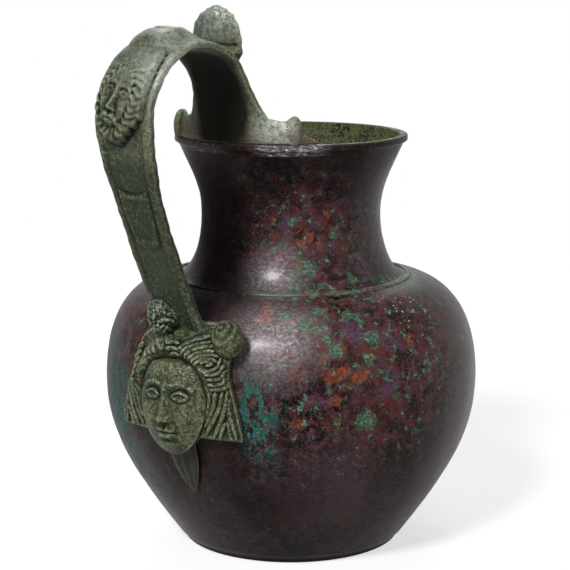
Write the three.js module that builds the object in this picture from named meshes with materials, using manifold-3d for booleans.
// An ancient bronze wine jug: a turned vessel with a soldered base, and a cast
// handle that grips the rim with two arms and ends in a mask on the belly.
// Millimetres, +Z up. The origin is the middle of the foot, on the surface that
// the jug stands on, and the handle points along -X.
import * as THREE from 'three';
import { mergeVertices } from 'three/addons/utils/BufferGeometryUtils.js';
import Module from 'manifold-3d';

const wasm = await Module();
wasm.setup();

// Vessel, from the foot up
const footRadius = 40.8; // standing edge, outside
const footWidth = 2.6; // width of the standing edge
const footFlare = 2.5; // how much the foot widens up to its top
const footHeight = 3;
const bellyRadius = 70;
const bellyHeight = 62; // table to the widest ring
const shoulderRise = 38; // widest ring to the foot of the neck
const shoulderRadius = 45; // foot of the neck
const beadRadius = 0.7; // turned bead round the foot of the neck
const waistRise = 24; // foot of the neck to its narrowest ring
const waistRadius = 33.5;
const flareRise = 26.6; // narrowest ring to the underside of the lip
const lipRadius = 43.3;
const lipOverhang = 1.3; // lip past the top of the neck
const lipWidth = 3;
const lipHeight = 2.6;
const lipRound = 0.8; // rounding of the lip's corners
const wall = 1.8;

// Base, a turned disc soldered under a ledge inside the foot
const ledgeHeight = 3.6; // table to the underside of the ledge
const ledgeWidth = 3;
const baseThickness = 1.4;
const baseClearance = 0.35; // between the disc and the foot round it
const baseRings = 3; // turned rings round the middle boss
const ringWidth = 2.4;
const ringDrop = 1.1; // how far the rings and the boss stand down
const bossRadius = 8;

// Solder films
const baseFilm = 0.3;
const rimFilm = 0.4;
const maskFilm = 0.4;
const filmInset = 0.5; // how far a film stays inside the faces that it joins
const maskClearance = 0.3; // between the curved film and each of its neighbours

// Handle band: a strap that rises from the rim, arches out and drops to the belly
const crownRise = 36.1; // rim to the middle of the strap at the top of the arch
const crownRadius = 70.5; // vessel's axis to the top of the arch
const handleReach = 95.4; // vessel's axis to the middle of the strap, at its farthest
const reachRise = 11.4; // rim to the level of the strap's farthest point
const bandEndRise = 27; // widest ring of the belly to the strap's lower end
const riserThickness = 3.2;
const crownThickness = 3;
const crownFullness = 4.5; // the strap's outer face is round over the top of the arch
const reachThickness = 3.4;
const bandThickness = 3;
const riserFootWidth = 37;
const riserFlare = 20; // length over which the strap widens down to the rim
const riserWidth = 24.4;
const crownWidth = 24.6;
const reachWidth = 23.4; // where the strap is farthest out
const bandWidth = 19;
const bandTaper = 34; // length over which the strap thins and narrows below that
const borderWidth = 2.6; // raised border along each edge of the strap
const borderRise = 0.7;

// Arms that grip the rim, each ending in a water bird's head
const armThickness = 4.4;
const armSpread = 48.5; // degrees from the handle's plane to the tip of a bill
const headAngle = 36.7; // degrees from the handle's plane to the top of a head
const headRise = 10.2; // lip to the top of a head
const saddleRise = 8.6; // lip to the hollow behind a head
const billRise = 1.3; // lip to the tip of a bill

// Thumb rest: an upright leaf, grown on to the strap below and free above the arch
const thumbSeat = 26; // along the strap, from the rim to the leaf's lower tip
const thumbTop = 12.2; // top of the arch to the leaf's upper tip
const thumbWidth = 21.4;
const thumbThickness = 2.6;
const thumbInset = 3.7; // strap's middle to the leaf's, at the lower tip
const thumbBulge = 3.4; // how far the leaf bows toward the arch
const thumbHollow = 1; // how far its sides turn back toward the mouth
const thumbBlend = 4; // height over which the leaf comes free of the strap

// Mask on the belly, with heights from the belly's widest ring
const maskShift = 2; // mask's middle from the handle's plane
const chinDrop = 13; // below the ring
const hairlineRise = 21; // above the ring
const faceWidth = 26;
const faceDepth = 6.4; // face over its plate at its fullest
const plateThickness = 2.2;
const hairBottomDrop = 7.5; // below the ring
const hairTopRise = 31; // above the ring
const hairBottomWidth = 49;
const hairMiddleWidth = 37; // at the hairline
const hairTopWidth = 22;
const hairRise = 2.6; // hair over the plate
const leafDrop = 31; // below the ring, tip of the leaf under the chin
const leafWidth = 12;
const leafThickness = 1.1;
const berryRadius = 4.3; // berry cluster on the strap's end
const berrySeat = 6; // along the strap, from its end to the cluster
const berryProud = 1.6; // strap's face to the cluster's middle
const berryShift = 4; // from the handle's plane, away from the knob
const grainRadius = 1.25; // one berry
const cupDrop = 2.6; // berry cluster's middle down to its cup's
const grainRows = 3;
const knobRadius = 5.6; // ivy cluster beside the hair
const knobRise = 23.2; // above the ring
const knobSeat = 5.2; // how far it is sunk into the hair's edge

// Relief along the strap
const bustStart = 14; // top of the arch to the top of the bearded head
const bustLength = 36;
const bustWidth = 18;
const bustRise = 3.2;
const basketGap = 14; // bearded head to the basket
const basketLength = 21;
const basketWidth = 13;
const basketRise = 0.9;

// Fineness
const turns = 48; // facets round the vessel
const degree = Math.PI / 180;

// Heights that follow from the sizes
const shoulderHeight = bellyHeight + shoulderRise;
const waistHeight = shoulderHeight + waistRise;
const lipUnderside = waistHeight + flareRise;
const rimHeight = lipUnderside + lipHeight;
const armBase = rimHeight + rimFilm;
const crownHeight = rimHeight + crownRise;

const vec = (x, y, z) => new THREE.Vector3(x, y, z);
const flat = (r, z) => new THREE.Vector2(r, z);
const { lerp, smoothstep, clamp } = THREE.MathUtils;
const bump = (distance) => Math.exp(-distance * distance);

// A curve from a to b with its own two handles, as points
function bend(a, handleA, handleB, b, steps) {
  return new THREE.CubicBezierCurve(a, handleA, handleB, b).getPoints(steps);
}

// Values between stations: a smooth run through [place, value] pairs
function between(stations, place) {
  const last = stations.length - 1;
  let i = stations.findIndex(([at]) => at > place);
  if (i === -1) return stations[last][1];
  if (i === 0) return stations[0][1];
  const [[a, from], [b, to]] = [stations[i - 1], stations[i]];
  return lerp(from, to, smoothstep(place, a, b));
}

// The vessel's outer line as three smooth stretches: body, shoulder and neck
function bodyLine() {
  const start = flat(footRadius + footFlare, footHeight);
  const widest = flat(bellyRadius, bellyHeight);
  const rise = bellyHeight - footHeight;
  const spread = bellyRadius - start.x;
  const bowl = bend(
    start,
    flat(start.x + 0.567 * spread, footHeight + 0.352 * rise),
    flat(bellyRadius, bellyHeight - 0.37 * rise),
    widest,
    9,
  );
  const drawIn = bellyRadius - shoulderRadius;
  const shoulder = bend(
    widest,
    flat(bellyRadius, bellyHeight + 0.509 * shoulderRise),
    flat(shoulderRadius + 0.732 * drawIn, shoulderHeight - 0.055 * shoulderRise),
    flat(shoulderRadius, shoulderHeight),
    8,
  );
  return [...bowl, ...shoulder.slice(1)];
}

function neckLine() {
  const foot = flat(shoulderRadius - 2 * beadRadius, shoulderHeight);
  const top = flat(lipRadius - lipOverhang, lipUnderside);
  const waist = flat(waistRadius, waistHeight);
  const lower = bend(
    foot,
    flat(lerp(foot.x, waistRadius, 0.521), shoulderHeight),
    flat(waistRadius, waistHeight - 0.542 * waistRise),
    waist,
    6,
  );
  const upper = bend(
    waist,
    flat(waistRadius, waistHeight + 0.371 * flareRise),
    flat(lerp(top.x, waistRadius, 0.558), lipUnderside - 0.408 * flareRise),
    top,
    6,
  );
  return [...lower, ...upper.slice(1)];
}

const bodyPoints = bodyLine();
const neckPoints = neckLine();

// A quarter turn of points round a corner, starting at an angle in quarter turns
function corner(centre, radius, startQuarter, steps = 2) {
  const points = [];
  for (let i = 0; i <= steps; i += 1) {
    const angle = (startQuarter + i / steps) * Math.PI / 2;
    points.push(flat(centre.x + radius * Math.cos(angle), centre.y + radius * Math.sin(angle)));
  }
  return points;
}

// The line moved inward by the wall, square to itself
function innerLine(points) {
  return points.map((point, i) => {
    const before = points[Math.max(i - 1, 0)];
    const after = points[Math.min(i + 1, points.length - 1)];
    const along = after.clone().sub(before).normalize();
    return flat(point.x - wall * along.y, point.y + wall * along.x);
  });
}

// Half of a line's points, for the faces that hardly show
function everySecond(points) {
  return points.filter((_, i) => i % 2 === 0);
}

// A closed line turned round the vessel's axis
function turned(points) {
  const geometry = new THREE.LatheGeometry(points, turns);
  geometry.rotateX(Math.PI / 2);
  return geometry;
}

// The turned vessel, open at the mouth and, inside the ledge, at the bottom
function vesselGeometry() {
  const outerTop = flat(lipRadius - lipRound, rimHeight - lipRound);
  const innerTop = flat(lipRadius - lipWidth + lipRound, rimHeight - lipRound);
  const outerLow = flat(lipRadius - lipRound, lipUnderside + lipRound);
  const beadCentre = flat(shoulderRadius - beadRadius, shoulderHeight);
  const beadPoints = corner(beadCentre, beadRadius, 0).concat(corner(beadCentre, beadRadius, 1).slice(1));
  const ledgeTop = ledgeHeight + wall;
  const footInside = footRadius - footWidth;
  const inner = innerLine(bodyPoints).filter((point) => point.y > ledgeTop + wall / 2);
  const innerNeck = innerLine(neckPoints).filter((point) => point.y < lipUnderside);
  const lowest = inner[0];
  return turned([
    flat(footInside, 0),
    flat(footRadius, 0),
    ...bodyPoints,
    ...beadPoints.slice(1),
    ...neckPoints.slice(1),
    ...corner(outerLow, lipRound, -1),
    ...corner(outerTop, lipRound, 0),
    ...corner(innerTop, lipRound, 1),
    ...everySecond(innerNeck).reverse(),
    ...everySecond(inner).reverse(),
    flat(lowest.x - wall / 2, ledgeTop),
    flat(footInside - ledgeWidth, ledgeTop),
    flat(footInside - ledgeWidth, ledgeHeight),
    flat(footInside, ledgeHeight),
    flat(footInside, 0),
  ]);
}

// The turned base: rings and a flat middle boss under a thin disc
function baseGeometry() {
  const radius = footRadius - footWidth - baseClearance;
  const top = ledgeHeight - baseFilm;
  const underside = top - baseThickness;
  const low = underside - ringDrop;
  const pitch = (radius - bossRadius) / (baseRings + 0.5);
  const line = [flat(0, low), flat(bossRadius - ringDrop / 2, low), flat(bossRadius, underside)];
  for (let ring = 1; ring <= baseRings; ring += 1) {
    const middle = bossRadius + ring * pitch - ringWidth / 2;
    line.push(flat(middle - ringWidth / 2, underside));
    line.push(flat(middle - ringWidth / 4, lerp(underside, low, 0.85)));
    line.push(flat(middle + ringWidth / 4, lerp(underside, low, 0.85)));
    line.push(flat(middle + ringWidth / 2, underside));
  }
  line.push(flat(radius, underside), flat(radius, top), flat(0, top));
  return turned(line);
}

// The solder that holds the base under the ledge
function baseSolderGeometry() {
  const outer = footRadius - footWidth - baseClearance - filmInset;
  const inner = footRadius - footWidth - ledgeWidth + filmInset;
  const low = ledgeHeight - baseFilm;
  return turned([
    flat(inner, low),
    flat(outer, low),
    flat(outer, ledgeHeight),
    flat(inner, ledgeHeight),
    flat(inner, low),
  ]);
}

// A closed skin over a row of rings, with each end closed by a fan
function loft(rings) {
  const size = rings[0].length;
  const positions = rings.flat().concat([middleOf(rings[0]), middleOf(rings.at(-1))]);
  const triangles = [];
  for (let row = 0; row < rings.length - 1; row += 1) {
    for (let i = 0; i < size; i += 1) {
      const next = (i + 1) % size;
      const [a, b] = [row * size + i, row * size + next];
      triangles.push(a, b, b + size, a, b + size, a + size);
    }
  }
  const firstCap = rings.length * size;
  const lastRow = (rings.length - 1) * size;
  for (let i = 0; i < size; i += 1) {
    const next = (i + 1) % size;
    triangles.push(firstCap, next, i);
    triangles.push(firstCap + 1, lastRow + i, lastRow + next);
  }
  return facingOut(positions, triangles);
}

function middleOf(ring) {
  const sum = ring.reduce((total, point) => total.add(point), vec(0, 0, 0));
  return sum.divideScalar(ring.length);
}

// A closed geometry whose faces point out, whichever way round it was written
function facingOut(points, triangles) {
  let volume = 0;
  for (let i = 0; i < triangles.length; i += 3) {
    const [a, b, c] = [0, 1, 2].map((k) => points[triangles[i + k]]);
    volume += a.dot(b.clone().cross(c));
  }
  const geometry = new THREE.BufferGeometry().setFromPoints(points);
  geometry.setIndex(volume < 0 ? triangles.toReversed() : triangles);
  return geometry;
}

// The strap's middle line in the handle's plane, as radius and height
function bandPath() {
  const foot = flat(lipRadius - lipWidth / 2, armBase + 1);
  const crown = flat(crownRadius, crownHeight);
  const reach = flat(handleReach, rimHeight + reachRise);
  const seat = bellyPoint(bellyHeight + bandEndRise, 0, maskBack + plateThickness);
  const end = flat(-seat.x, seat.z);
  const arch = crownRadius - foot.x;
  const drop = crown.y - reach.y;
  const path = new THREE.CurvePath();
  path.add(new THREE.CubicBezierCurve(
    foot,
    flat(foot.x - 0.12 * arch, foot.y + 0.832 * crownRise),
    flat(crown.x - 0.44 * arch, crown.y),
    crown,
  ));
  path.add(new THREE.CubicBezierCurve(
    crown,
    flat(lerp(crown.x, reach.x, 0.411), crown.y),
    flat(reach.x, reach.y + 0.587 * drop),
    reach,
  ));
  path.add(new THREE.CubicBezierCurve(
    reach,
    flat(reach.x, lerp(reach.y, end.y, 0.253)),
    flat(lerp(end.x, reach.x, 0.295), lerp(end.y, reach.y, 0.22)),
    end,
  ));
  return path;
}

// The belly's outer line at a height: its radius there and the way it faces
function bellyLineAt(height) {
  const last = bodyPoints.length - 1;
  const i = clamp(bodyPoints.filter((point) => point.y <= height).length, 1, last);
  const [a, b] = [bodyPoints[i - 1], bodyPoints[i]];
  const share = (height - a.y) / (b.y - a.y);
  const before = bodyPoints[Math.max(i - 2, 0)];
  const after = bodyPoints[Math.min(i + 1, last)];
  const along = b.clone().sub(before).normalize().lerp(after.clone().sub(a).normalize(), share);
  along.normalize();
  return { radius: lerp(a.x, b.x, share), outward: flat(along.y, -along.x) };
}

const maskBack = 2 * maskClearance + maskFilm; // belly to the back of the mask
const seatDepth = 3; // how far raw patches reach into the belly before the cut

// A point over the belly: height, distance along the belly from the handle's
// plane, and distance out from the surface
function bellyPoint(height, across, out) {
  const { radius, outward } = bellyLineAt(height);
  const angle = across / radius;
  const distance = radius + out * outward.x;
  return vec(-distance * Math.cos(angle), -distance * Math.sin(angle), height + out * outward.y);
}

// A raised patch over the belly between two heights, from its half width and its
// front as a distance out from the belly. It reaches inside, where the seat cuts it
function bellyPatch({ low, high, rows, columns, halfWidth, front }) {
  const points = [];
  const triangles = [];
  const place = (row, column, out) => {
    const height = lerp(low, high, row / rows);
    const across = halfWidth(height) * (2 * column / columns - 1);
    return bellyPoint(height, across + maskShift, out ?? front(height, across));
  };
  const width = columns + 1;
  for (let row = 0; row <= rows; row += 1) {
    for (let column = 0; column <= columns; column += 1) points.push(place(row, column));
  }
  for (let row = 0; row < rows; row += 1) {
    for (let column = 0; column < columns; column += 1) {
      const a = row * width + column;
      triangles.push(a, a + 1, a + 1 + width, a, a + 1 + width, a + width);
    }
  }
  const rim = [];
  for (let column = 0; column < columns; column += 1) rim.push([0, column]);
  for (let row = 0; row < rows; row += 1) rim.push([row, columns]);
  for (let column = columns; column > 0; column -= 1) rim.push([rows, column]);
  for (let row = rows; row > 0; row -= 1) rim.push([row, 0]);
  const deep = points.length;
  rim.forEach(([row, column]) => points.push(place(row, column, -seatDepth)));
  const middle = points.push(bellyPoint((low + high) / 2, maskShift, -2 * seatDepth)) - 1;
  rim.forEach(([row, column], i) => {
    const next = (i + 1) % rim.length;
    const [a, b] = [row * width + column, rim[next][0] * width + rim[next][1]];
    triangles.push(b, a, deep + i, b, deep + i, deep + next, middle, deep + next, deep + i);
  });
  return facingOut(points, triangles);
}

// The space that the belly takes up with a gap all round it
function bellySeat(gap) {
  const rows = bodyPoints.map((point) => {
    const { radius, outward } = bellyLineAt(point.y);
    return flat(radius + gap * outward.x, point.y + gap * outward.y);
  });
  return turned([flat(0, rows[0].y), ...rows, flat(0, rows.at(-1).y)]);
}

const strapPath = bandPath();
const [crownAt, reachAt, strapLength] = strapPath.getCurveLengths();

// A point of the strap's middle line and the way its outer face looks there
function strapPlace(share) {
  const point = strapPath.getPointAt(share);
  const along = strapPath.getTangentAt(share);
  return { point, out: flat(-along.y, along.x) };
}

// Width, thickness, bow and border of the strap at a distance along it
function strapSection(distance) {
  const width = between([
    [0, riserFootWidth],
    [riserFlare, riserWidth],
    [crownAt, crownWidth],
    [reachAt, reachWidth],
    [reachAt + bandTaper, bandWidth],
  ], distance);
  const thickness = between([
    [riserFlare, riserThickness],
    [crownAt, crownThickness],
    [crownAt + bustStart, lerp(crownThickness, reachThickness, 0.6)],
    [reachAt, reachThickness],
    [reachAt + bandTaper, bandThickness],
  ], distance);
  const bow = 1 - smoothstep(distance, riserFlare / 2, 2 * riserFlare);
  const border = borderRise * smoothstep(distance, crownAt, crownAt + bustStart);
  return { width, thickness, bow, border };
}

// Low relief on the strap: a bearded head above, a basket below
function strapRelief(distance, across) {
  const along = distance - crownAt - bustStart - bustLength / 2;
  const [u, v] = [2 * across / bustWidth, 2 * along / bustLength];
  const dome = Math.sqrt(Math.max(0, 1 - u * u - v * v));
  const brow = 0.7 * bump((v - 0.05) / 0.1) * bump(u / 0.55);
  const nose = 1.1 * bump((v - 0.24) / 0.15) * bump(u / 0.17);
  const beard = 0.45 * Math.sin(17 * u) * smoothstep(v, 0.34, 0.5);
  const head = dome * (bustRise + brow + nose + beard);
  const over = smoothstep(distance, crownAt - 8, crownAt + 1)
    - smoothstep(distance, crownAt + 9, crownAt + 19);
  const side = 2 * Math.abs(across) / crownWidth;
  const full = crownFullness * over * (1 - smoothstep(side, 0.35, 0.95));
  const below = Math.abs(along - (bustLength + basketLength) / 2 - basketGap) / (basketLength / 2);
  const inBasket = below < 1 && Math.abs(across) < basketWidth / 2;
  const hoop = Math.abs(Math.sin(6 * below)) > 0.8 ? 0.4 * basketRise : 0;
  return Math.max(full, head, inBasket ? basketRise + hoop : 0);
}

// A strap ring: outer face with its borders and relief, inner face slightly full
function strapRing(share) {
  const columns = 12;
  const innerColumns = 4;
  const { point, out } = strapPlace(share);
  const distance = share * strapLength;
  const { width, thickness, bow, border } = strapSection(distance);
  const half = width / 2;
  const ring = [];
  const place = (across, offset) => {
    const curve = bow * (lipRadius - Math.sqrt(lipRadius ** 2 - across ** 2));
    return vec(-(point.x - curve + out.x * offset), -across, point.y + out.y * offset);
  };
  for (let i = 0; i <= columns; i += 1) {
    const across = half * (2 * i / columns - 1);
    const edge = Math.abs(across) > half - borderWidth ? border : 0;
    ring.push(place(across, thickness / 2 + edge + strapRelief(distance, across)));
  }
  for (let i = innerColumns; i >= 0; i -= 1) {
    const across = 0.94 * half * (2 * i / innerColumns - 1);
    const full = 0.12 * thickness * (1 - (across / half) ** 2);
    ring.push(place(across, -thickness / 2 - full));
  }
  return ring;
}

function strapGeometry() {
  const rings = 48;
  return loft(Array.from({ length: rings + 1 }, (_, i) => strapRing(i / rings)));
}

// The arms: one bar along the rim, highest where it meets the strap
function armsGeometry() {
  const riserFoot = 0.5 * armSpread;
  const rises = [
    [0, headRise + 3],
    [0.44 * armSpread, headRise + 1.4],
    [riserFoot, saddleRise + 0.4],
    [headAngle - 5, saddleRise],
    [headAngle, headRise],
    [headAngle + 1.6, headRise - 1.4],
    [headAngle + 4, 3.6],
    [lerp(headAngle, armSpread, 0.65), billRise + 1],
    [armSpread, billRise],
  ];
  const widths = [
    [0, armThickness],
    [headAngle, armThickness],
    [headAngle + 4, 0.72 * armThickness],
    [armSpread, 0.4 * armThickness],
  ];
  const steps = 17;
  const rings = [];
  for (let i = -steps; i <= steps; i += 1) {
    const spread = armSpread * Math.abs(i / steps) ** 0.75;
    const width = between(widths, spread);
    const rise = between(rises, spread) - rimFilm;
    const middle = lipRadius + 0.4 - armThickness / 2 - 0.16 * (armThickness - width);
    rings.push(armRing(Math.sign(i) * spread * degree, middle, width, rise));
  }
  return loft(rings);
}

function armRing(angle, middle, width, rise) {
  const ring = [];
  const steps = 7;
  for (let i = 0; i <= steps; i += 1) {
    const t = Math.PI * i / steps;
    const radius = middle + width / 2 * Math.sign(Math.cos(t)) * Math.abs(Math.cos(t)) ** 0.8;
    const height = armBase + rise * Math.sin(t) ** 0.6;
    ring.push(vec(-radius * Math.cos(angle), -radius * Math.sin(angle), height));
  }
  return ring;
}

// The flat film of solder between the lip and the arms
function rimSolderGeometry() {
  const inner = lipRadius - lipWidth + lipRound;
  const outer = lipRadius - lipRound;
  const spread = armSpread - 1.5;
  const steps = 24;
  const rings = [];
  for (let i = 0; i <= steps; i += 1) {
    const angle = spread * degree * (2 * i / steps - 1);
    const corners = [[inner, rimHeight], [outer, rimHeight], [outer, armBase], [inner, armBase]];
    rings.push(corners.map(([r, z]) => vec(-r * Math.cos(angle), -r * Math.sin(angle), z)));
  }
  return loft(rings);
}

// The leaf that the thumb presses on, in level rings. Below the arch its front
// reaches into the strap
function thumbGeometry() {
  const seat = strapPath.getPointAt(thumbSeat / strapLength);
  const top = crownHeight + thumbTop;
  const free = crownHeight - 1;
  const riser = strapPath.curves[0].getPoints(80);
  const outline = [
    [0, 0.55],
    [0.27, 0.97],
    [0.5, 1],
    [0.68, 0.92],
    [0.84, 0.71],
    [0.93, 0.43],
    [1, 0.14],
  ];
  const steps = 15;
  const rings = [];
  for (let i = 0; i <= steps; i += 1) {
    const share = i / steps;
    const height = lerp(seat.y, top, share);
    const bow = thumbBulge * (1 - ((share - 0.7) / 0.7) ** 2);
    const middle = seat.x - thumbInset + bow;
    const scallop = 1 + 0.025 * Math.sin(share * 40);
    const half = thumbWidth / 2 * between(outline, share) * scallop;
    const thick = thumbThickness / 2 * (1 - 0.6 * share ** 4);
    const strap = riser.find((point) => point.y >= height) ?? riser.at(-1);
    const joined = clamp(strap.x - middle, thick, 3 * thumbThickness);
    const front = lerp(joined, thick, smoothstep(height, free - thumbBlend, free));
    rings.push(leafRing(height, middle, half, front, thick));
  }
  return loft(rings);
}

function leafRing(height, middle, half, front, back) {
  const ring = [];
  const steps = 14;
  for (let i = 0; i < steps; i += 1) {
    const t = 2 * Math.PI * i / steps;
    const depth = Math.sin(t) > 0 ? front : back;
    const radius = middle + depth * Math.sin(t) - thumbHollow * Math.cos(t) ** 2;
    ring.push(vec(-radius, -half * Math.cos(t), height));
  }
  return ring;
}

// The face, on plain proportions: three equal heights from hairline to chin, and
// eyes one eye's width apart
function faceFront(height, across) {
  const low = bellyHeight - chinDrop;
  const length = chinDrop + hairlineRise;
  const u = across / (faceWidth / 2);
  const v = (height - low) / length;
  const third = 1 / 3;
  const eye = 2 / 5; // one eye's width, where the face is 2 wide
  const near = (x, y, wide, tall) => bump((u - x) / wide) * bump((v - y) / tall);
  const both = (x, y, wide, tall) => near(x, y, wide, tall) + near(-x, y, wide, tall);
  const dome = Math.sqrt(Math.max(0, 1 - 0.86 * u * u - 0.8 * (2 * v - 1) ** 2));
  const noseRun = smoothstep(v, third - 0.02, third + 0.03) * (1 - smoothstep(v, 0.58, 0.72));
  const nose = (2.4 - 3.2 * (v - third)) * noseRun * bump(u / 0.17);
  const features = nose
    + 0.5 * both(0.17, third + 0.03, 0.1, 0.03)
    - 1.5 * both(eye, 0.6, 0.24, 0.055)
    + 1.1 * both(eye, 0.6, 0.17, 0.035)
    + 0.6 * both(eye, 2 * third + 0.01, 0.3, 0.03)
    + 0.7 * both(0.5, 0.4, 0.28, 0.11)
    + 0.9 * near(0, 0.235, 0.26, 0.026)
    + 0.8 * near(0, 0.18, 0.2, 0.03)
    - 0.5 * near(0, 0.207, 0.26, 0.012)
    + 0.8 * near(0, 0.07, 0.26, 0.06);
  return maskBack + plateThickness + faceDepth * dome + features * Math.min(1, 2 * dome);
}

function faceGeometry() {
  const middle = bellyHeight + (hairlineRise - chinDrop) / 2;
  const reach = (hairlineRise + chinDrop) / 2;
  return bellyPatch({
    low: middle - reach,
    high: middle + reach,
    rows: 24,
    columns: 16,
    halfWidth: (height) => {
      const v = (height - middle) / reach;
      const jaw = lerp(0.8, 1, smoothstep(v, -1, 0.1));
      return faceWidth / 2 * jaw * Math.sqrt(Math.max(0.04, 1 - Math.abs(v) ** 2.4));
    },
    front: faceFront,
  });
}

// Hair: a wavy roll from the parting down both sides, then straight locks
function hairHalfWidth(height) {
  return between([
    [bellyHeight - hairBottomDrop, hairBottomWidth / 2],
    [bellyHeight + hairlineRise, hairMiddleWidth / 2],
    [bellyHeight + hairTopRise, hairTopWidth / 2],
  ], height);
}

function hairFront(height, across) {
  const middle = bellyHeight + (hairlineRise - chinDrop) / 2;
  const u = across / (faceWidth / 2);
  const v = (height - middle) / ((hairlineRise + chinDrop) / 2);
  const round = Math.hypot(u, v);
  const roll = v > -0.2 ? bump((round - 1.22) / 0.24) * smoothstep(v, -0.2, 0.15) : 0;
  const turn = Math.atan2(Math.abs(u), v);
  const wave = 0.5 * Math.sin(turn * 11 + round * 3) * roll;
  const lock = 0.35 * Math.sin(Math.abs(across) * 1.5 - height * 0.75) * (1 - roll);
  const lift = hairRise * (1 - 0.35 * smoothstep(Math.abs(u), 1.2, 1.8));
  return maskBack + plateThickness + lift + 3.4 * roll + wave + lock;
}

function hairGeometry() {
  return bellyPatch({
    low: bellyHeight - hairBottomDrop,
    high: bellyHeight + hairTopRise,
    rows: 20,
    columns: 24,
    halfWidth: hairHalfWidth,
    front: hairFront,
  });
}

// The pointed leaf below the chin
function leafGeometry() {
  const tip = bellyHeight - leafDrop;
  const top = bellyHeight - chinDrop + 3;
  const outline = (share) => Math.max(0.08, Math.sin(0.62 * Math.PI * share));
  return bellyPatch({
    low: tip,
    high: top,
    rows: 8,
    columns: 6,
    halfWidth: (height) => leafWidth / 2 * outline((height - tip) / (top - tip)),
    front: (height, across) => maskBack + leafThickness + 0.5 * (1 - Math.abs(across) / leafWidth),
  });
}

function ball(radius, centre, detail) {
  const geometry = new THREE.IcosahedronGeometry(radius, detail);
  geometry.translate(centre.x, centre.y, centre.z);
  return geometry;
}

// The cluster of berries on the strap's end, over the parting
function berryGeometries() {
  const { point, out } = strapPlace(1 - berrySeat / strapLength);
  const middle = point.clone().addScaledVector(out, bandThickness / 2 + berryProud);
  const centre = vec(-middle.x, berryShift, middle.y);
  const ahead = vec(-out.x, 0, out.y);
  const up = vec(out.y, 0, out.x);
  const side = vec(0, 1, 0);
  const cupMiddle = centre.clone().addScaledVector(ahead, -cupDrop);
  const pieces = [ball(berryRadius, centre, 2), ball(berryRadius + grainRadius, cupMiddle, 2)];
  for (let row = 0; row < grainRows; row += 1) {
    const lift = (row + 0.6) / grainRows * Math.PI / 2;
    const count = Math.max(1, Math.round(8 * Math.cos(lift)));
    for (let i = 0; i < count; i += 1) {
      const turn = 2 * Math.PI * (i + row / 2) / count;
      if (row === 0 && Math.cos(turn) < -0.5) continue; // the hair is there
      const aim = ahead.clone().multiplyScalar(Math.sin(lift));
      aim.addScaledVector(side, Math.cos(lift) * Math.sin(turn));
      aim.addScaledVector(up, Math.cos(lift) * Math.cos(turn));
      pieces.push(ball(grainRadius, centre.clone().addScaledVector(aim, berryRadius), 0));
    }
  }
  return pieces;
}

function knobGeometry() {
  const height = bellyHeight + knobRise;
  const across = maskShift + hairHalfWidth(height) + knobRadius - knobSeat;
  return ball(knobRadius, bellyPoint(height, across, maskBack + knobRadius), 1);
}

// A geometry as a solid that can be joined, and a solid as a geometry again
function solidOf(geometry) {
  const bare = geometry.clone();
  bare.deleteAttribute('normal');
  bare.deleteAttribute('uv');
  const merged = mergeVertices(bare, 1e-5);
  return new wasm.Manifold(new wasm.Mesh({
    numProp: 3,
    vertProperties: new Float32Array(merged.attributes.position.array),
    triVerts: new Uint32Array(merged.index.array),
  }));
}

function geometryOf(solid) {
  const mesh = solid.getMesh();
  const geometry = new THREE.BufferGeometry();
  geometry.setAttribute('position', new THREE.BufferAttribute(mesh.vertProperties, 3));
  geometry.setIndex(new THREE.BufferAttribute(mesh.triVerts, 1));
  return geometry;
}

// The handle is one casting: strap, arms, thumb rest and mask
function handleGeometry() {
  const parts = [
    strapGeometry(),
    armsGeometry(),
    thumbGeometry(),
    hairGeometry(),
    faceGeometry(),
    leafGeometry(),
    knobGeometry(),
    ...berryGeometries(),
  ];
  const whole = parts.map(solidOf).reduce((joined, part) => joined.add(part));
  return geometryOf(whole.subtract(solidOf(bellySeat(maskBack))));
}

// The curved film of solder between the belly and the back of the mask
function maskSolderGeometry() {
  const patch = bellyPatch({
    low: bellyHeight - hairBottomDrop + filmInset,
    high: bellyHeight + hairTopRise - filmInset,
    rows: 8,
    columns: 6,
    halfWidth: (height) => hairHalfWidth(height) - filmInset,
    front: () => 2 * maskBack,
  });
  const outside = solidOf(bellySeat(maskClearance + maskFilm));
  const inside = solidOf(bellySeat(maskClearance));
  return geometryOf(solidOf(patch).intersect(outside).subtract(inside));
}

const bronze = { color: 0x33201f, roughness: 0.38, metalness: 0.75 };
const patina = { color: 0x4c5a43, roughness: 0.78, metalness: 0.3 };
const solder = { color: 0x5b5148, roughness: 0.6, metalness: 0.6 };

function piece(name, geometry, look) {
  geometry.computeVertexNormals();
  const mesh = new THREE.Mesh(geometry, new THREE.MeshStandardMaterial(look));
  mesh.name = name;
  return mesh;
}

const group = new THREE.Group();
group.add(
  piece('vessel', vesselGeometry(), bronze),
  piece('base_disc', baseGeometry(), bronze),
  piece('base_solder', baseSolderGeometry(), solder),
  piece('handle', handleGeometry(), patina),
  piece('rim_solder', rimSolderGeometry(), solder),
  piece('mask_solder', maskSolderGeometry(), solder),
);

export default group;
